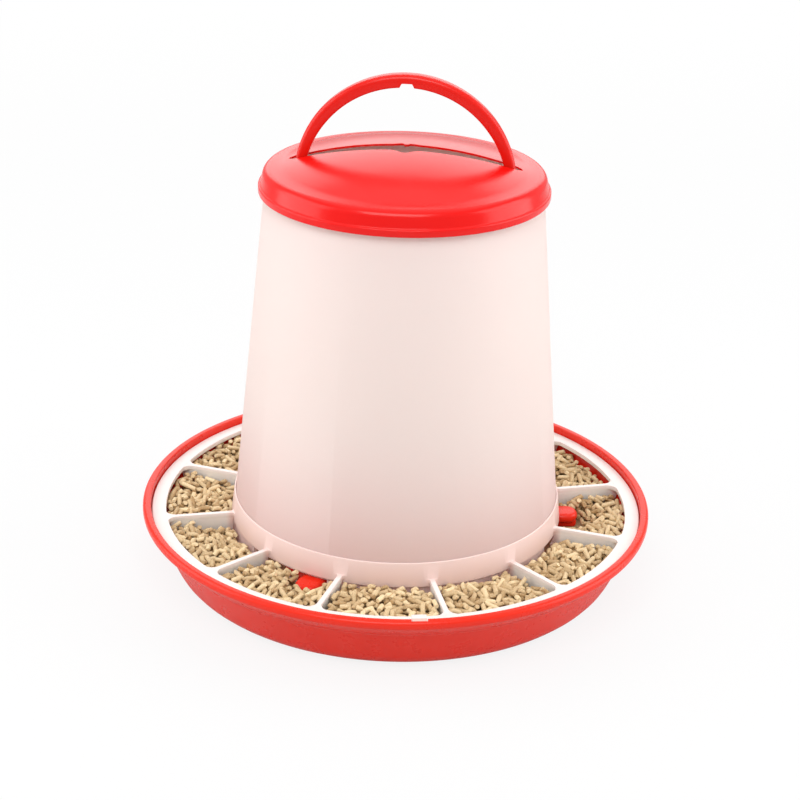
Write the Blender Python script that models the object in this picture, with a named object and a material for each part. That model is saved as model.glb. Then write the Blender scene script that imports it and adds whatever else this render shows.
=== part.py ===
# Hopper feeder for poultry: a round pan, a grid of radial vanes that sits in its rim, a tapered
# hopper that turns on three lugs of the pan, a domed lid, and a hoop handle that stands through it.
# Metres, +Z up, origin on the ground at the centre of the pan. Azimuths run from the front (-Y)
# towards +X.
import math

import bmesh
import bpy
from mathutils import Matrix, Vector

# Pan
PAN_RADIUS = 0.170
PAN_HEIGHT = 0.046
PAN_WALL = 0.0025
LIP_WIDTH = 0.0055
LIP_FACE = 0.0075
BASE_INSET = 0.0358
BASE_FILLET = 0.018
WALL_ANGLE = math.radians(66)
CONE_RADIUS = 0.062
CONE_TIP_RADIUS = 0.006
CONE_HEIGHT = 0.044

# Grid
RING_WIDTH = 0.0094
RING_THICKNESS = 0.0029
RING_RECESS = 0.0045
VANE_COUNT = 12
VANE_THICKNESS = 0.0028
VANE_HEIGHT = 0.0145
VANE_FILLET = 0.006
FIRST_VANE = math.radians(12.5)
COLLAR_WALL = 0.0016
COLLAR_DEPTH = 0.005
COLLAR_RISE = 0.0108
TAB_COUNT = 2
TAB_WIDTH = 0.009
TAB_LENGTH = 0.0036
TAB_THICKNESS = 0.004
FIRST_TAB = math.radians(5.6)

# Hopper
HOPPER_FOOT_RADIUS = 0.1105
HOPPER_TOP_RADIUS = 0.0874
HOPPER_HEIGHT = 0.249
HOPPER_WALL = 0.0020
FEED_GAP = 0.0195

# Lugs of the pan, and the slots of the hopper that turn on them
LUG_COUNT = 3
LUG_WIDTH = 0.017
LUG_THICKNESS = 0.0065
LUG_REACH = 0.0135
LUG_ROUNDING = 0.0022
LUG_LIFT = 0.006
FIRST_LUG = math.radians(-27.5)
POST_THICKNESS = 0.006
RIB_THICKNESS = 0.004
RIB_LENGTH = 0.022
LOCK_TURN = math.radians(24)

# Lid
LID_WALL = 0.0019
LID_SKIRT = 0.0119
LID_BEAD = 0.0014
LID_BEAD_HEIGHT = 0.0046
LID_DRAFT = 0.0016
LID_EDGE = 0.0036
LID_CROWN = 0.0025
LID_DOME = 0.0141
SLOT_HALF_WIDTH = 0.0067
SLOT_END_HALF_WIDTH = 0.0032
SLOT_POCKET = 0.0050
SLOT_POCKET_WIDTH = 0.017
SLOT_BULGE = 0.0015
NUB_WIDTH = 0.004
NUB_LENGTH = 0.0021

# Handle
HANDLE_AZIMUTH = math.radians(-4.5)
HANDLE_SIDE_GAP = 0.015
HANDLE_DEPTH = 0.0079
HANDLE_TOP_WIDTH = 0.0110
HANDLE_FOOT_WIDTH = 0.0050
HANDLE_EDGE = 0.0024
HOOK_NOTCH_WIDTH = 0.009
HOOK_NOTCH_DEPTH = 0.0026
PIVOT_DROP = 0.0077
PIN_RADIUS = 0.0030
EYE_RADIUS = 0.0048

# Feed in the pan
FEED_DEPTH = 0.0335
FEED_SLOPE = math.radians(35)

# Clearances
FIT = 0.0003
SIDE_FIT = 0.0005
LID_FIT = 0.0008
LOOSE_FIT = 0.0010

ROUND = 64

# Heights and radii that follow from the sizes above
lip_inner = PAN_RADIUS - LIP_WIDTH
lip_bottom = PAN_HEIGHT - LIP_FACE
base_radius = PAN_RADIUS - BASE_INSET
ring_top = PAN_HEIGHT - RING_RECESS
ring_bottom = ring_top - RING_THICKNESS
ledge = ring_bottom - FIT
ring_outer = lip_inner - SIDE_FIT
ring_inner = ring_outer - RING_WIDTH
collar_bottom = ring_top - COLLAR_DEPTH
collar_top = ring_top + COLLAR_RISE
vane_bottom = ring_top - VANE_HEIGHT
hopper_bottom = PAN_WALL + FEED_GAP
hopper_top = hopper_bottom + HOPPER_HEIGHT
lug_bottom = hopper_bottom + LUG_LIFT
lug_top = lug_bottom + LUG_THICKNESS
lug_outer = HOPPER_FOOT_RADIUS + LUG_REACH
post_outer = HOPPER_FOOT_RADIUS - HOPPER_WALL - 2 * LOOSE_FIT
pivot_height = hopper_top - PIVOT_DROP
lid_seat = hopper_top + FIT
lid_bottom = lid_seat - LID_SKIRT
lid_crown = lid_seat + LID_CROWN
feed_top = PAN_WALL + FEED_DEPTH


def hopper_radius(z):
    """Outer radius of the hopper at this height."""
    share = (z - hopper_bottom) / HOPPER_HEIGHT
    return HOPPER_FOOT_RADIUS + (HOPPER_TOP_RADIUS - HOPPER_FOOT_RADIUS) * share


def pan_radius(z):
    """Outer radius of the pan's sloping wall at this height, above its fillet."""
    foot = base_radius + BASE_FILLET * math.sin(WALL_ANGLE)
    return foot + (z - BASE_FILLET * (1 - math.cos(WALL_ANGLE))) / math.tan(WALL_ANGLE)


def pan_inside(z):
    return pan_radius(z) - PAN_WALL / math.sin(WALL_ANGLE)


handle_outer = hopper_radius(pivot_height) - HOPPER_WALL - HANDLE_SIDE_GAP
handle_middle = handle_outer - HANDLE_DEPTH / 2


def spot(radius, azimuth, z=0.0):
    return Vector((radius * math.sin(azimuth), -radius * math.cos(azimuth), z))


def spread(first, count):
    return [first + 2 * math.pi * k / count for k in range(count)]


def arc(r, z, radius, start, end, steps):
    """Points (r, z) on an arc, from one angle to another in degrees."""
    angles = [math.radians(start + (end - start) * k / steps) for k in range(steps + 1)]
    return [(r + radius * math.cos(a), z + radius * math.sin(a)) for a in angles]


def plastic(name, colour, roughness):
    material = bpy.data.materials.new(name)
    material.use_nodes = True
    shader = material.node_tree.nodes["Principled BSDF"]
    shader.inputs["Base Color"].default_value = (*colour, 1.0)
    shader.inputs["Roughness"].default_value = roughness
    shader.inputs["Metallic"].default_value = 0.0
    material.diffuse_color = (*colour, 1.0)
    return material


def object_from(name, bm, material=None, parent=None):
    """A named object from a bmesh, with its faces outwards and its round faces smooth."""
    bmesh.ops.remove_doubles(bm, verts=bm.verts, dist=1e-6)
    bmesh.ops.recalc_face_normals(bm, faces=bm.faces)
    mesh = bpy.data.meshes.new(name)
    bm.to_mesh(mesh)
    bm.free()
    mesh.shade_smooth()
    mesh.set_sharp_from_angle(angle=math.radians(35))
    obj = bpy.data.objects.new(name, mesh)
    bpy.context.scene.collection.objects.link(obj)
    obj.parent = parent
    if material:
        mesh.materials.append(material)
    else:
        # A shape with no material only cuts or joins another, so it is left out of the object.
        obj.hide_render = True
        obj.display_type = "WIRE"
    return obj


def boolean(obj, other, operation):
    modifier = obj.modifiers.new(other.name, "BOOLEAN")
    modifier.operation = operation
    modifier.solver = "EXACT"
    modifier.object = other


def turn(bm, profile, sweep=2 * math.pi, start=0.0, steps=ROUND):
    """Spins a closed (r, z) outline about Z: a full ring, or a sector with flat ends."""
    full = sweep >= 2 * math.pi
    verts = [bm.verts.new(spot(r, start, z)) for r, z in profile]
    if full:
        geometry = verts + [bm.edges.new(pair) for pair in zip(verts, verts[1:] + verts[:1])]
    else:
        geometry = [bm.faces.new(verts)]
    bmesh.ops.spin(
        bm, geom=geometry, cent=(0, 0, 0), axis=(0, 0, 1), angle=sweep, steps=steps,
        use_merge=full, use_duplicate=False,
    )


def turn_solid(bm, profile):
    """Spins an open (r, z) outline that starts and ends on the Z axis."""
    verts = [bm.verts.new(spot(r, 0, z)) for r, z in profile]
    edges = [bm.edges.new(pair) for pair in zip(verts, verts[1:])]
    bmesh.ops.spin(
        bm, geom=verts + edges, cent=(0, 0, 0), axis=(0, 0, 1), angle=2 * math.pi, steps=ROUND,
        use_merge=True, use_duplicate=False,
    )


def block(bm, inner, outer, width, bottom, top, azimuth, rounding=0.0):
    """A box between two radii and two heights, turned to an azimuth."""
    made = bmesh.ops.create_cube(bm, size=1.0)["verts"]
    bmesh.ops.scale(bm, vec=(width, outer - inner, top - bottom), verts=made)
    bmesh.ops.translate(bm, vec=(0, -(inner + outer) / 2, (bottom + top) / 2), verts=made)
    bmesh.ops.rotate(bm, cent=(0, 0, 0), matrix=Matrix.Rotation(azimuth, 3, "Z"), verts=made)
    if rounding:
        edges = {edge for vert in made for edge in vert.link_edges}
        bmesh.ops.bevel(
            bm, geom=list(edges), offset=rounding, segments=2, affect="EDGES", profile=0.5,
            material=-1,
        )


def extrude_face(bm, corners, shift):
    face = bm.faces.new([bm.verts.new(corner) for corner in corners])
    made = bmesh.ops.extrude_face_region(bm, geom=[face])["geom"]
    moved = [item for item in made if isinstance(item, bmesh.types.BMVert)]
    bmesh.ops.translate(bm, vec=shift, verts=moved)


def plate(bm, outline, thickness, azimuth):
    """An (r, z) outline in the radial plane at an azimuth, with half its thickness to each side."""
    across = spot(thickness / 2, azimuth + math.pi / 2)
    extrude_face(bm, [spot(r, azimuth, z) - across for r, z in outline], 2 * across)


def rod(bm, radius, start, end, height):
    """A cylinder along X at this height."""
    made = bmesh.ops.create_cone(
        bm, segments=20, radius1=radius, radius2=radius, depth=end - start, cap_ends=True
    )["verts"]
    place = Matrix.Translation(((start + end) / 2, 0, height)) @ Matrix.Rotation(math.pi / 2, 4, "Y")
    bmesh.ops.transform(bm, verts=made, matrix=place)


def vane_outline(clearance):
    """Side view of a vane, from the collar to the ring, following the pan's wall below it."""
    foot = hopper_radius(vane_bottom) + LOOSE_FIT
    return [
        (hopper_radius(ring_top) + SIDE_FIT + COLLAR_WALL / 2, ring_top - FIT / 2),
        (ring_inner + RING_WIDTH / 2, ring_top - FIT / 2),
        (ring_inner + RING_WIDTH / 2, ring_bottom + FIT),
        (pan_inside(ring_bottom) - LOOSE_FIT, ring_bottom + FIT),
        (pan_inside(vane_bottom) - LOOSE_FIT + clearance, vane_bottom - clearance),
        (foot - clearance, vane_bottom - clearance),
        (foot - clearance, collar_bottom + FIT),
        (hopper_radius(ring_top) + SIDE_FIT + COLLAR_WALL / 2, collar_bottom + FIT),
    ]


def make_pan(material):
    slope = math.degrees(WALL_ANGLE)
    notch_floor = ledge - PAN_WALL
    profile = [(0, CONE_HEIGHT - PAN_WALL), (CONE_TIP_RADIUS - PAN_WALL / 2, CONE_HEIGHT - PAN_WALL)]
    profile += [(CONE_RADIUS - PAN_WALL, 0)]
    profile += arc(base_radius, BASE_FILLET, BASE_FILLET, -90, -90 + slope, 5)
    profile += [(pan_radius(notch_floor), notch_floor)]
    profile += [(lip_inner + LIP_WIDTH / 2, notch_floor + PAN_WALL / 2), (PAN_RADIUS - 0.001, lip_bottom)]
    profile += [(PAN_RADIUS, lip_bottom + 0.001)]
    profile += arc(PAN_RADIUS - 0.0022, PAN_HEIGHT - 0.0022, 0.0022, 0, 90, 3)
    profile += [(lip_inner + 0.001, PAN_HEIGHT), (lip_inner, PAN_HEIGHT - 0.001)]
    profile += [(lip_inner, ledge), (pan_inside(ledge), ledge)]
    profile += arc(base_radius, BASE_FILLET, BASE_FILLET - PAN_WALL, -90 + slope, -90, 4)
    profile += [(CONE_RADIUS, PAN_WALL), (CONE_TIP_RADIUS, CONE_HEIGHT - 0.001)]
    profile += [(CONE_TIP_RADIUS - 0.002, CONE_HEIGHT), (0, CONE_HEIGHT)]
    bm = bmesh.new()
    turn_solid(bm, profile)
    pan = object_from("pan", bm, material)

    sunk = PAN_WALL / 2
    post_middle = post_outer - POST_THICKNESS / 2
    rib_inner = post_outer - POST_THICKNESS - RIB_LENGTH
    rib = [(rib_inner, sunk), (post_middle, sunk), (post_middle, lug_bottom), (rib_inner, 2 * PAN_WALL)]
    posts = bmesh.new()
    lugs = bmesh.new()
    ribs = bmesh.new()
    for azimuth in spread(FIRST_LUG, LUG_COUNT):
        block(posts, post_middle - POST_THICKNESS / 2, post_outer, LUG_WIDTH, sunk, lug_top, azimuth)
        block(
            lugs, post_middle, lug_outer, LUG_WIDTH - FIT, lug_bottom, lug_top - FIT / 2, azimuth,
            LUG_ROUNDING,
        )
        plate(ribs, rib, RIB_THICKNESS, azimuth)
    notches = bmesh.new()
    for azimuth in spread(FIRST_TAB, TAB_COUNT):
        block(
            notches, lip_inner - LOOSE_FIT, lip_inner + TAB_LENGTH, TAB_WIDTH + 2 * SIDE_FIT,
            PAN_HEIGHT - TAB_THICKNESS - FIT, PAN_HEIGHT + LOOSE_FIT, azimuth,
        )
    boolean(pan, object_from("posts", posts), "UNION")
    boolean(pan, object_from("lugs", lugs), "UNION")
    boolean(pan, object_from("ribs", ribs), "UNION")
    boolean(pan, object_from("rim_notches", notches), "DIFFERENCE")
    return pan


def make_grid(material, parent):
    chamfer = 0.0006
    profile = [(ring_inner, ring_bottom), (ring_outer, ring_bottom), (ring_outer, ring_top - chamfer)]
    profile += [(ring_outer - chamfer, ring_top), (ring_inner + chamfer, ring_top)]
    profile += [(ring_inner, ring_top - chamfer)]
    bm = bmesh.new()
    turn(bm, profile)
    grid = object_from("anti_waste_grid", bm, material, parent)

    low = hopper_radius(collar_bottom) + SIDE_FIT
    high = hopper_radius(collar_top) + SIDE_FIT
    profile = [(low, collar_bottom), (low + COLLAR_WALL, collar_bottom)]
    profile += [(high + COLLAR_WALL, collar_top - chamfer), (high + COLLAR_WALL - chamfer, collar_top)]
    profile += [(high, collar_top)]
    collar = bmesh.new()
    turn(collar, profile)

    vanes = bmesh.new()
    webs = bmesh.new()
    root = VANE_THICKNESS / 2 - FIT
    side = [
        (ring_inner + LOOSE_FIT, root + VANE_FILLET),
        (ring_inner - VANE_FILLET * 0.3, root + VANE_FILLET * 0.3),
        (ring_inner - VANE_FILLET, root),
    ]
    for azimuth in spread(FIRST_VANE, VANE_COUNT):
        plate(vanes, vane_outline(0), VANE_THICKNESS, azimuth)
        corners = [(r, across) for r, across in side] + [(r, -across) for r, across in reversed(side)]
        corners = [
            spot(r, azimuth, ring_bottom + SIDE_FIT) + spot(across, azimuth + math.pi / 2)
            for r, across in corners
        ]
        extrude_face(webs, corners, (0, 0, RING_THICKNESS - 2 * SIDE_FIT))
    # Each tab stands on the ring and reaches out into a notch of the pan's rim.
    tabs = bmesh.new()
    tab_inner = ring_outer - TAB_THICKNESS
    tab_outer = lip_inner + TAB_LENGTH - SIDE_FIT
    under_tab = PAN_HEIGHT - TAB_THICKNESS
    outline = [(tab_inner, ring_bottom + SIDE_FIT), (ring_outer - FIT, ring_bottom + SIDE_FIT)]
    outline += [(ring_outer - FIT, under_tab), (tab_outer, under_tab)]
    outline += [(tab_outer, PAN_HEIGHT), (tab_inner, PAN_HEIGHT)]
    for azimuth in spread(FIRST_TAB, TAB_COUNT):
        plate(tabs, outline, TAB_WIDTH, azimuth)
    boolean(grid, object_from("collar", collar), "UNION")
    boolean(grid, object_from("vanes", vanes), "UNION")
    boolean(grid, object_from("vane_webs", webs), "UNION")
    boolean(grid, object_from("tabs", tabs), "UNION")
    return grid


def make_hopper(material, parent):
    profile = [(HOPPER_FOOT_RADIUS, hopper_bottom), (HOPPER_TOP_RADIUS, hopper_top)]
    profile += [(HOPPER_TOP_RADIUS - HOPPER_WALL, hopper_top)]
    profile += [(HOPPER_FOOT_RADIUS - HOPPER_WALL, hopper_bottom)]
    bm = bmesh.new()
    turn(bm, profile)
    hopper = object_from("hopper", bm, material, parent)

    # Each lug comes in from below at one end of its slot and locks at the other.
    half_lug = math.asin((LUG_WIDTH / 2 + LOOSE_FIT) / HOPPER_FOOT_RADIUS)
    inner = HOPPER_FOOT_RADIUS - 5 * HOPPER_WALL
    outer = HOPPER_FOOT_RADIUS + HOPPER_WALL
    floor = lug_bottom - SIDE_FIT
    roof = lug_top + FIT
    below = hopper_bottom - HOPPER_WALL
    slots = bmesh.new()
    mouths = bmesh.new()
    for azimuth in spread(FIRST_LUG, LUG_COUNT):
        start = azimuth - LOCK_TURN - half_lug
        outline = [(inner, floor), (outer, floor), (outer, roof), (inner, roof)]
        turn(slots, outline, LOCK_TURN + 2 * half_lug, start, 8)
        outline = [(inner, below), (outer, below), (outer, roof - FIT), (inner, roof - FIT)]
        turn(mouths, outline, 2 * half_lug, start, 3)
    holes = bmesh.new()
    wall = hopper_radius(pivot_height)
    for side in (1, -1):
        rod(
            holes, PIN_RADIUS + FIT, side * wall - 5 * HOPPER_WALL, side * wall + 5 * HOPPER_WALL,
            pivot_height,
        )
    holes.transform(Matrix.Rotation(HANDLE_AZIMUTH, 4, "Z"))
    boolean(hopper, object_from("lock_slots", slots), "DIFFERENCE")
    boolean(hopper, object_from("slot_mouths", mouths), "DIFFERENCE")
    boolean(hopper, object_from("pivot_holes", holes), "DIFFERENCE")
    return hopper


def slot_outline():
    """Top view (u, v) of the lid's slot: a lens with a pocket in front and a nub behind."""
    half_length = handle_outer + 3 * LID_FIT
    bulge = SLOT_HALF_WIDTH - SLOT_END_HALF_WIDTH
    stations = [(half_length - SLOT_END_HALF_WIDTH) * k / 6 for k in range(6, 0, -1)]
    side = [(half_length, SLOT_END_HALF_WIDTH / 2)]
    side += [(u, SLOT_END_HALF_WIDTH + bulge * (1 - (u / half_length) ** 2)) for u in stations]
    side += [(SLOT_POCKET_WIDTH / 2, SLOT_HALF_WIDTH)]
    widest = SLOT_HALF_WIDTH + SLOT_BULGE
    back = side + [(NUB_WIDTH, widest), (NUB_WIDTH / 2, widest), (NUB_WIDTH / 4, widest - NUB_LENGTH)]
    front = side + [(NUB_WIDTH / 2, SLOT_HALF_WIDTH + SLOT_POCKET)]
    back += [(-u, v) for u, v in reversed(back)]
    front += [(-u, v) for u, v in reversed(front)]
    return back + [(u, -v) for u, v in reversed(front)]


def make_lid(material, parent):
    skirt_inner = hopper_radius(lid_bottom) + LID_FIT
    bead_outer = skirt_inner + LID_WALL - FIT + LID_BEAD
    skirt_outer = bead_outer - LID_BEAD
    dome_edge = skirt_outer - LID_DRAFT - LID_EDGE
    rings = 7
    dome = []
    for k in range(rings):
        r = dome_edge * k / rings
        dome.append((r, lid_crown + LID_DOME * (1 - (r / dome_edge) ** 2)))
    bead_top = lid_bottom + LID_BEAD_HEIGHT
    seat_edge = HOPPER_TOP_RADIUS - HOPPER_WALL - LOOSE_FIT
    profile = dome + arc(dome_edge, lid_crown - LID_EDGE, LID_EDGE, 80, 5, 4)
    profile += [(skirt_outer, bead_top), (bead_outer - FIT, bead_top - FIT)]
    profile += [(bead_outer, bead_top - LOOSE_FIT), (bead_outer, lid_bottom + SIDE_FIT)]
    profile += [(bead_outer - SIDE_FIT, lid_bottom), (skirt_inner, lid_bottom)]
    profile += [(HOPPER_TOP_RADIUS + LID_FIT, lid_seat), (seat_edge, lid_seat)]
    profile += [(r, z - LID_WALL) for r, z in reversed(dome)]
    bm = bmesh.new()
    turn_solid(bm, profile)
    lid = object_from("lid", bm, material, parent)

    spin = Matrix.Rotation(HANDLE_AZIMUTH, 3, "Z")
    bottom = lid_seat - LOOSE_FIT
    slot = bmesh.new()
    corners = [spin @ Vector((u, v, bottom)) for u, v in slot_outline()]
    extrude_face(slot, corners, (0, 0, LID_CROWN + 2 * LID_DOME))
    boolean(lid, object_from("handle_slot", slot), "DIFFERENCE")
    return lid


def make_handle(material, parent):
    """A half hoop about its pivot axis, wide at the top and narrow at its feet, with two pins."""
    steps = 28
    half_depth = HANDLE_DEPTH / 2
    bm = bmesh.new()
    rings = []
    for k in range(steps + 1):
        angle = math.pi * k / steps
        width = HANDLE_FOOT_WIDTH + (HANDLE_TOP_WIDTH - HANDLE_FOOT_WIDTH) * math.sin(angle)
        edge = min(HANDLE_EDGE, width / 2.5)
        side = [
            (half_depth, width / 2 - edge), (half_depth - edge * 0.3, width / 2 - edge * 0.3),
            (half_depth - edge, width / 2), (edge * 0.4 - half_depth, width / 2),
            (-half_depth, width / 2 - edge * 0.4),
        ]
        section = side + [(depth, -across) for depth, across in reversed(side)]
        outwards = Vector((math.cos(angle), 0, math.sin(angle)))
        rings.append([
            bm.verts.new(outwards * (handle_middle + depth) + Vector((0, across, 0)))
            for depth, across in section
        ])
    for ring, following in zip(rings, rings[1:]):
        for i in range(len(ring)):
            bm.faces.new((ring[i - 1], ring[i], following[i], following[i - 1]))
    bm.faces.new(rings[0])
    bm.faces.new(rings[-1])
    handle = object_from("handle", bm, material, parent)

    wall = hopper_radius(pivot_height)
    inner = handle_middle - half_depth
    eyes = bmesh.new()
    pins = bmesh.new()
    for side in (1, -1):
        ends = sorted((side * (inner + LOOSE_FIT), side * (wall - HOPPER_WALL - LOOSE_FIT)))
        rod(eyes, EYE_RADIUS, *ends, 0)
        ends = sorted((side * handle_middle, side * wall))
        rod(pins, PIN_RADIUS, *ends, 0)
    notch = bmesh.new()
    block(
        notch, -HANDLE_TOP_WIDTH, HANDLE_TOP_WIDTH, HOOK_NOTCH_WIDTH, inner - HOOK_NOTCH_DEPTH,
        inner + HOOK_NOTCH_DEPTH, 0,
    )
    boolean(handle, object_from("eyes", eyes, parent=handle), "UNION")
    boolean(handle, object_from("pins", pins, parent=handle), "UNION")
    boolean(handle, object_from("hook_notch", notch, parent=handle), "DIFFERENCE")
    handle.location = (0, 0, pivot_height)
    handle.rotation_euler = (0, 0, HANDLE_AZIMUTH)
    return handle


def make_feed(material, parent):
    """A ring of feed around the hopper's foot, running under its edge to its own slope."""
    slope = math.degrees(WALL_ANGLE)
    inner = HOPPER_FOOT_RADIUS + LOOSE_FIT
    under = hopper_bottom - LOOSE_FIT
    floor = PAN_WALL + FIT
    edge = HOPPER_FOOT_RADIUS - HOPPER_WALL - LOOSE_FIT
    run = (under - floor) / math.tan(FEED_SLOPE)
    profile = [(edge - run, floor)]
    profile += arc(base_radius, BASE_FILLET, BASE_FILLET - PAN_WALL - FIT, -90, -90 + slope, 4)
    profile += [(pan_inside(feed_top) - FIT, feed_top), (inner, feed_top), (inner, under), (edge, under)]
    bm = bmesh.new()
    turn(bm, profile)
    feed = object_from("feed", bm, material, parent)

    vane_slots = bmesh.new()
    outline = vane_outline(LOOSE_FIT)
    for azimuth in spread(FIRST_VANE, VANE_COUNT):
        plate(vane_slots, outline, VANE_THICKNESS + 2 * LOOSE_FIT, azimuth)
    posts = bmesh.new()
    lugs = bmesh.new()
    width = LUG_WIDTH + 2 * LOOSE_FIT
    for azimuth in spread(FIRST_LUG, LUG_COUNT):
        block(posts, CONE_RADIUS, post_outer + LOOSE_FIT, width, 0, feed_top, azimuth)
        block(
            lugs, post_outer - LOOSE_FIT, lug_outer + LOOSE_FIT, width - FIT, lug_bottom - LOOSE_FIT,
            feed_top + LOOSE_FIT, azimuth,
        )
    boolean(feed, object_from("vane_slots", vane_slots), "DIFFERENCE")
    boolean(feed, object_from("post_slots", posts), "DIFFERENCE")
    boolean(feed, object_from("lug_pockets", lugs), "DIFFERENCE")
    return feed


for old in list(bpy.data.objects):
    bpy.data.objects.remove(old, do_unlink=True)

red = plastic("glossy_red", (0.80, 0.035, 0.020), 0.28)
white = plastic("grid_white", (0.86, 0.83, 0.78), 0.42)
translucent = plastic("hopper_white", (0.90, 0.82, 0.79), 0.38)
feed_tan = plastic("feed_tan", (0.62, 0.46, 0.26), 0.90)

stand = bpy.data.objects.new("stand", None)
bpy.context.scene.collection.objects.link(stand)
pan = make_pan(red)
pan.parent = stand
make_grid(white, stand)
hopper = make_hopper(translucent, stand)
make_lid(red, hopper)
make_handle(red, hopper)
make_feed(feed_tan, stand)
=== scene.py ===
# Looks of the poultry feeder: a glossy red pan, lid and handle, a white grid of vanes,
# a pale hopper and the pellets in the pan. Metres, +Z up, front at -Y.
import math
import random

import bmesh
import bpy
from mathutils import Matrix, Vector, noise


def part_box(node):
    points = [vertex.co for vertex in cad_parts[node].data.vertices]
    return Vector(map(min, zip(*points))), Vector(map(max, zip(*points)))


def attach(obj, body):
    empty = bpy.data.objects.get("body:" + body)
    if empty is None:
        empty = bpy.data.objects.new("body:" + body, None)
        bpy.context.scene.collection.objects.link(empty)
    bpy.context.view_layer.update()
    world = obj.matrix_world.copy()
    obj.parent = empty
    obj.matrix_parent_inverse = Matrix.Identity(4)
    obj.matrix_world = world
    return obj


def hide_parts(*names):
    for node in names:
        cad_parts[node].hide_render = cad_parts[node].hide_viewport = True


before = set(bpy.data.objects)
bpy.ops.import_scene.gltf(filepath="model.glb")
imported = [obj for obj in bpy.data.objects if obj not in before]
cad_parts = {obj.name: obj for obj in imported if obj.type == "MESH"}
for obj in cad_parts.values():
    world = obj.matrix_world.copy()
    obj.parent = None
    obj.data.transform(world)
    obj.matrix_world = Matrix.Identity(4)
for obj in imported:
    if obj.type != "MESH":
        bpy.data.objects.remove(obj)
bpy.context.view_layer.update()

turnSteps = 192
rng = random.Random(7)
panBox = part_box("pan")
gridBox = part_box("anti_waste_grid")
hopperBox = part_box("hopper")
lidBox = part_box("lid")
print("frame loaded")


# Mesh helpers

def spot(radius, azimuth, z=0.0):
    return Vector((radius * math.sin(azimuth), -radius * math.cos(azimuth), z))


def around(first, count):
    return [first + 2 * math.pi * k / count for k in range(count)]


def rounded(corners, steps=5):
    # corners are (r, z, radius): each one with a radius becomes a short arc
    points = []
    for k, (r, z, radius) in enumerate(corners):
        here = Vector((r, z))
        if not radius:
            points.append((r, z))
            continue
        before = (Vector(corners[k - 1][:2]) - here).normalized()
        after = (Vector(corners[(k + 1) % len(corners)][:2]) - here).normalized()
        half = before.angle(after) / 2
        middle = here + (before + after).normalized() * (radius / math.sin(half))
        start = here + before * (radius / math.tan(half)) - middle
        end = here + after * (radius / math.tan(half)) - middle
        sweep = start.angle_signed(end)
        for step in range(steps + 1):
            arm = Matrix.Rotation(-sweep * step / steps, 2) @ start
            points.append(tuple(middle + arm))
    return points


def spinOutline(bm, outline, onAxis=False, steps=turnSteps):
    verts = [bm.verts.new(spot(r, 0, z)) for r, z in outline]
    pairs = list(zip(verts, verts[1:]))
    if not onAxis:
        pairs.append((verts[-1], verts[0]))
    edges = [bm.edges.new(pair) for pair in pairs]
    bmesh.ops.spin(
        bm, geom=verts + edges, cent=(0, 0, 0), axis=(0, 0, 1), angle=2 * math.pi, steps=steps,
        use_merge=True, use_duplicate=False,
    )


def extruded(bm, corners, shift):
    face = bm.faces.new([bm.verts.new(corner) for corner in corners])
    made = bmesh.ops.extrude_face_region(bm, geom=[face])["geom"]
    moved = [item for item in made if isinstance(item, bmesh.types.BMVert)]
    bmesh.ops.translate(bm, vec=shift, verts=moved)


def radialPlate(bm, outline, thickness, azimuth):
    across = spot(thickness / 2, azimuth + math.pi / 2)
    extruded(bm, [spot(r, azimuth, z) - across for r, z in outline], 2 * across)


def radialBlock(bm, inner, outer, width, bottom, top, azimuth):
    verts = bmesh.ops.create_cube(bm, size=1.0)["verts"]
    bmesh.ops.scale(bm, vec=(width, outer - inner, top - bottom), verts=verts)
    bmesh.ops.translate(bm, vec=(0, -(inner + outer) / 2, (bottom + top) / 2), verts=verts)
    bmesh.ops.rotate(bm, cent=(0, 0, 0), matrix=Matrix.Rotation(azimuth, 3, "Z"), verts=verts)


def bevelled(bm, edges, offset, segments=3):
    bmesh.ops.bevel(
        bm, geom=list(edges), offset=offset, offset_type="OFFSET", segments=segments, affect="EDGES",
        profile=0.5, material=-1,
    )


def isUpright(edge):
    across = edge.verts[1].co - edge.verts[0].co
    return math.hypot(across.x, across.y) < 1e-6


def meshObject(name, bm):
    bmesh.ops.remove_doubles(bm, verts=bm.verts, dist=1e-6)
    bmesh.ops.recalc_face_normals(bm, faces=bm.faces)
    mesh = bpy.data.meshes.new(name)
    bm.to_mesh(mesh)
    bm.free()
    obj = bpy.data.objects.new(name, mesh)
    bpy.context.scene.collection.objects.link(obj)
    return obj


def combine(obj, other, operation):
    # the other shape is used up by the cut or the join
    modifier = obj.modifiers.new("combine", "BOOLEAN")
    modifier.operation = operation
    modifier.solver = "EXACT"
    modifier.object = other
    settle(obj)
    bpy.data.objects.remove(other, do_unlink=True)


def settle(obj):
    graph = bpy.context.evaluated_depsgraph_get()
    mesh = bpy.data.meshes.new_from_object(obj.evaluated_get(graph))
    obj.modifiers.clear()
    obj.data = mesh


def soften(obj, width, angle=40, segments=2):
    modifier = obj.modifiers.new("soften", "BEVEL")
    modifier.width = width
    modifier.segments = segments
    modifier.limit_method = "ANGLE"
    modifier.angle_limit = math.radians(angle)
    modifier.use_clamp_overlap = True
    settle(obj)


def finishPiece(obj, body, node, material, sharp=38):
    obj.data.shade_smooth()
    obj.data.set_sharp_from_angle(angle=math.radians(sharp))
    obj.data.materials.clear()
    obj.data.materials.append(material)
    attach(obj, body)
    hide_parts(node)
    print("piece", obj.name, len(obj.data.polygons))


# Material helpers: arithmetic on sockets adds Math nodes

class Wire:
    def __init__(self, tree, socket):
        self.tree = tree
        self.socket = socket

    def math(self, operation, *others):
        node = self.tree.nodes.new("ShaderNodeMath")
        node.operation = operation
        for place, value in zip(node.inputs, (self, *others)):
            if isinstance(value, Wire):
                self.tree.links.new(value.socket, place)
            else:
                place.default_value = value
        return Wire(self.tree, node.outputs[0])

    def __add__(self, other):
        return self.math("ADD", other)

    def __mul__(self, other):
        return self.math("MULTIPLY", other)

    def __sub__(self, other):
        return self.math("SUBTRACT", other)


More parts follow.
